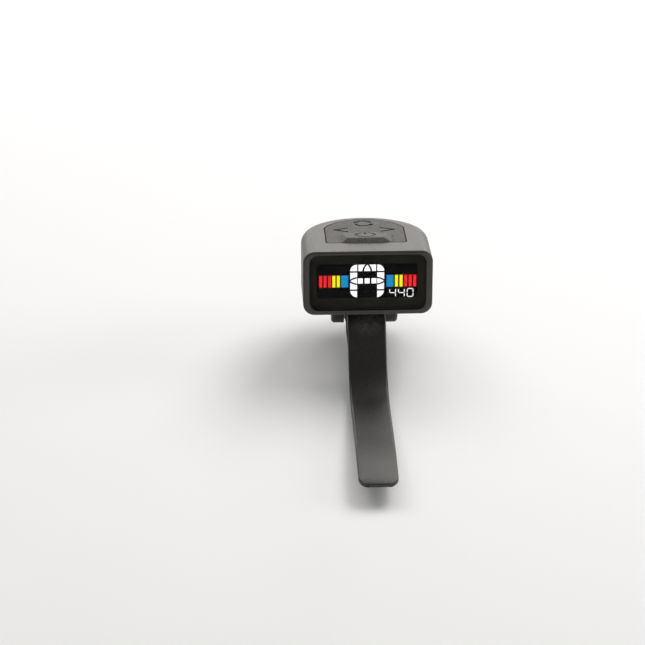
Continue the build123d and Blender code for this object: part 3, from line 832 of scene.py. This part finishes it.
def build_display():
    """The colour screen: tuning bars on both sides of the note letter, and the reference pitch."""
    for name, (colour, width, lefts) in bars.items():
        outlines = [box_outline(left, left + width, bar_low, bar_high) for left in lefts]
        plates(f"{name}_bars", outlines, lit_cell(f"{name}_cells", colour, 1.05))
    white = lit_cell("white_cells", (1.0, 1.0, 1.0), 1.1)
    plates("note_letter", letter_cells(), white)
    strokes = [cell for left, lit in digits for cell in digit_cells(left, lit)]
    plates("pitch_digits", strokes, white)
    ghosts = []
    for low, high in ghost_rows:
        ghosts += [box_outline(left, left + square_width, low, high) for left in square_lefts]
    plates("unlit_cells", ghosts, dark_film("unlit_cells", (0.008, 0.007, 0.007), 0.5, 0.03))


# ---- Scene ----
floor_half = 3.0
floor_gap = 0.02


def build_floor():
    """A plain pale floor under the lowest point of the tuner."""
    level = cad_bounds[0].z - floor_gap * MM
    builder = bmesh.new()
    corners = box_outline(-floor_half, floor_half, -floor_half, floor_half)
    builder.faces.new([builder.verts.new((x, y, level)) for x, y in corners])
    mesh = bpy.data.meshes.new("floor")
    builder.to_mesh(mesh)
    builder.free()
    look = Look("floor", Roughness=0.9)
    drift = look.spread(look.noise(60, 3), 0, 1)
    look.colour(look.blend(drift, (0.91, 0.92, 0.94), (0.93, 0.94, 0.96)))
    mesh.materials.append(look.material)
    floor = bpy.data.objects.new("floor", mesh)
    bpy.context.scene.collection.objects.link(floor)


lamp_white = (1.0, 0.975, 0.935)


def softbox(name, azimuth, elevation, distance, size, power):
    """A rectangular studio light that faces the tuner. Azimuth 0 is in front of it, 180 behind it."""
    centre = (cad_bounds[0] + cad_bounds[1]) / 2
    angle, rise = radians(azimuth), radians(elevation)
    direction = Vector((sin(angle) * cos(rise), -cos(angle) * cos(rise), sin(rise)))
    light = bpy.data.lights.new(name, "AREA")
    light.shape = "RECTANGLE"
    light.size, light.size_y = size
    light.energy = power
    light.color = lamp_white
    lamp = bpy.data.objects.new(name, light)
    lamp.location = centre + direction * distance
    lamp.rotation_euler = direction.to_track_quat("Z", "Y").to_euler()
    bpy.context.scene.collection.objects.link(lamp)


def build_lights():
    softbox("key_light", 140, 44, 0.9, (0.45, 0.45), 5.2)
    softbox("rear_light", 215, 44, 0.9, (0.45, 0.45), 2.0)
    softbox("middle_light", 180, 46, 0.9, (0.3, 0.2), 1.2)
    softbox("back_light", 182, 6, 1.0, (1.2, 0.16), 3.2)
    softbox("rim_light", 98, 12, 0.9, (0.25, 0.5), 2.8)
    softbox("front_light", 350, 15, 0.9, (0.6, 0.15), 0.6)
    world = bpy.data.worlds.new("studio")
    world.use_nodes = True
    background = world.node_tree.nodes["Background"]
    background.inputs["Color"].default_value = (1.0, 0.99, 0.975, 1)
    background.inputs["Strength"].default_value = 0.21
    bpy.context.scene.world = world
    bpy.context.scene.view_settings.view_transform = "Standard"


def build_camera():
    """Above and slightly to the left, through a long lens. The rod's middle is a little off the lens axis."""
    azimuth, elevation, roll = radians(2.80), radians(36.14), radians(0.74)
    forward = Vector((sin(azimuth) * cos(elevation), cos(azimuth) * cos(elevation), -sin(elevation)))
    level_side = Vector((cos(azimuth), -sin(azimuth), 0))
    level_top = level_side.cross(forward)
    side = level_side * cos(roll) + level_top * sin(roll)
    top = level_top * cos(roll) - level_side * sin(roll)
    distance, aside, below = 519.02, 9.98, 1.93
    data = bpy.data.cameras.new("camera")
    data.sensor_width = 36
    data.lens = 126.1
    data.clip_start = 0.01
    data.clip_end = 20
    camera = bpy.data.objects.new("camera", data)
    place = Matrix((side, top, -forward)).transposed().to_4x4()
    place.translation = -(forward * distance + side * aside - top * below) * MM
    camera.matrix_world = place
    bpy.context.scene.collection.objects.link(camera)
    bpy.context.scene.camera = camera


paint_cad()
build_strap()
build_mask()
build_display()
build_floor()
build_lights()
build_camera()
